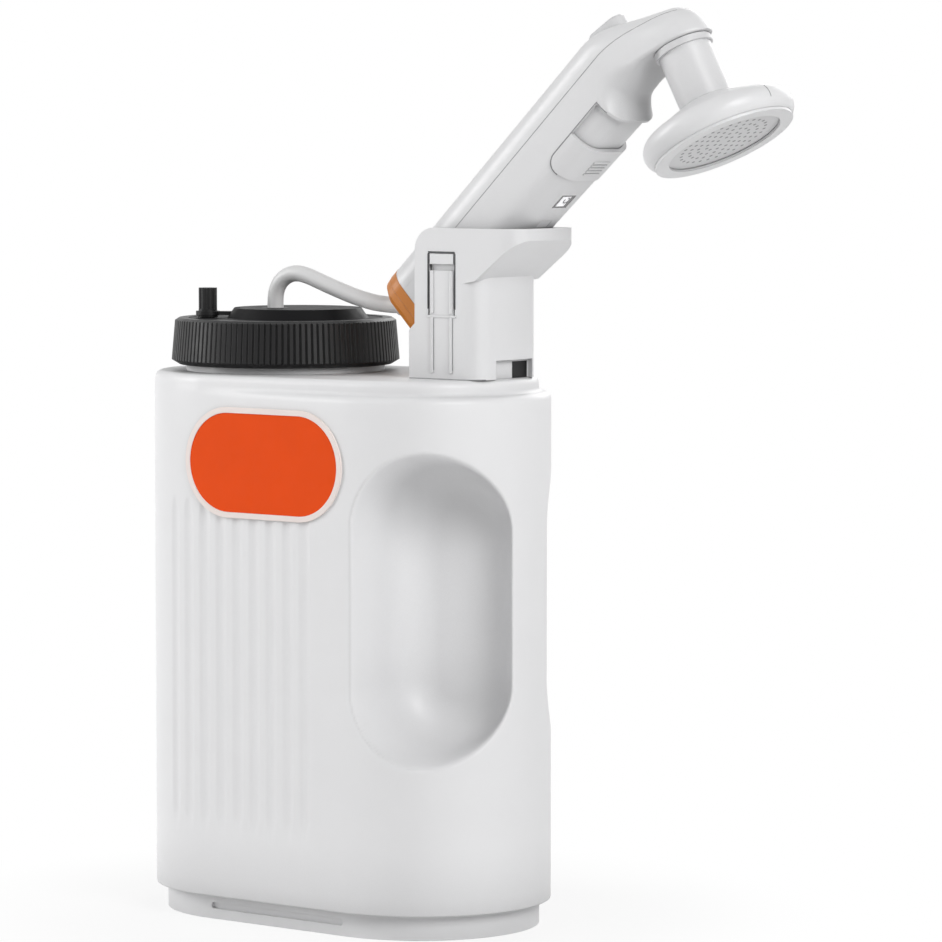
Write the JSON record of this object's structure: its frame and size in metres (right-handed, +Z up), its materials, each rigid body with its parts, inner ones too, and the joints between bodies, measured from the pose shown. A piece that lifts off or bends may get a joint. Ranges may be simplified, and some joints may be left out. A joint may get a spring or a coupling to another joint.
{
  "type": "camp shower pump",
  "caption": "Portable camp shower: an oval water tank with a screw-ring lid and grip pockets, a hose, and a battery pump wand with a shower head in a dock.",
  "frame": {"origin": "centre of the tank's foot, on the floor", "axes": "+X toward the dock end of the tank, -Y toward the badge, +Z up"},
  "size_m": [0.359, 0.1269, 0.4415],
  "materials": {
    "tank_white": "gloss",
    "foot_grey": "satin",
    "badge_border": "gloss",
    "badge_orange": "satin",
    "lid_grey": "satin",
    "ring_black": "satin",
    "seal": "matte",
    "hose": "satin",
    "shell_white": "satin",
    "end_tan": "satin",
    "steel": "satin",
    "cell_wrap": "gloss",
    "board": "matte",
    "dark_plastic": "matte",
    "smoke_window": "gloss",
    "plate_grey": "satin"
  },
  "bodies": {
    "tank_body": {"tank": "tank_white", "foot_tray": "foot_grey", "foot_screws": "steel", "badge_frame": "badge_border", "badge_panel": "badge_orange", "lid": "lid_grey", "lid_gasket": "seal", "hose_grommet": "seal", "hose_arch": "hose", "hose_drop": "hose", "hose_coil": "hose", "strainer": "dark_plastic", "dock": "tank_white"},
    "washer_body": {"slip_washer": "plate_grey"},
    "ring_body": {"cap_ring": "ring_black"},
    "vent_body": {"vent_plug": "ring_black"},
    "latch_body": {"dock_latch": "tank_white"},
    "wand_body": {"wand_shell": "shell_white", "wand_cover": "shell_white", "end_cap": "end_tan", "inlet_spigot": "plate_grey", "inlet_seal": "seal", "pump_housing": "dark_plastic", "pump_motor": "steel", "outlet_tube": "hose", "battery_cell": "cell_wrap", "battery_cradle": "dark_plastic", "circuit_board": "board", "reed_switch": "dark_plastic", "display_window": "smoke_window", "display_module": "dark_plastic", "charge_socket": "steel", "port_plug": "seal", "button_switch": "dark_plastic", "button_board": "board", "stem": "shell_white", "stem_collar": "plate_grey", "head_shell": "shell_white", "head_gasket": "seal", "spray_plate": "plate_grey"},
    "rotor_body": {"impeller": "plate_grey", "pump_shaft": "steel"},
    "switch_body": {"slide_switch": "shell_white"},
    "button_body": {"power_button": "shell_white"},
    "rim_body": {"head_rim": "shell_white"}
  },
  "joints": [
    {"name": "cap_rise", "type": "slide", "parent": "tank_body", "child": "washer_body", "axis": [0, 0, 1], "range_m": [0, 0.004]},
    {"name": "cap_turn", "type": "hinge", "parent": "washer_body", "child": "ring_body", "pos_m": [-0.0415, 0, 0.281], "axis": [0, 0, 1], "range_deg": [0, 360]},
    {"name": "vent_flap", "type": "hinge", "parent": "tank_body", "child": "vent_body", "pos_m": [-0.06081, -0.01508, 0.295], "axis": [-0.6157, 0.788, 0], "range_deg": [0, 75]},
    {"name": "latch_flex", "type": "hinge", "parent": "tank_body", "child": "latch_body", "pos_m": [0.0761, -0.0234, 0.2979], "axis": [1, 0, 0], "range_deg": [0, 4], "stiffness_Nm_per_rad": 0.5},
    {"name": "wand_draw", "type": "slide", "parent": "tank_body", "child": "wand_body", "axis": [0.7193, 0, 0.6947], "range_m": [0, 0.12]},
    {"name": "switch_slide", "type": "slide", "parent": "wand_body", "child": "switch_body", "axis": [0.7451, 0, 0.667], "range_m": [0, 0.019]},
    {"name": "power_press", "type": "slide", "parent": "wand_body", "child": "button_body", "axis": [0.5592, 0, -0.829], "range_m": [0, 0.0012], "stiffness_N_per_m": 800},
    {"name": "rim_twist", "type": "hinge", "parent": "wand_body", "child": "rim_body", "pos_m": [0.19786, 0, 0.42407], "axis": [-0.4695, 0, 0.8829], "range_deg": [0, 30]},
    {"name": "impeller_spin", "type": "hinge", "parent": "wand_body", "child": "rotor_body", "pos_m": [0.0909, 0, 0.3415], "axis": [0.7193, 0, 0.6947], "continuous": true}
  ],
  "couplings": [
    {"joint": "cap_rise", "follows": "cap_turn", "m_per_rad": 0.00063662}
  ]
}
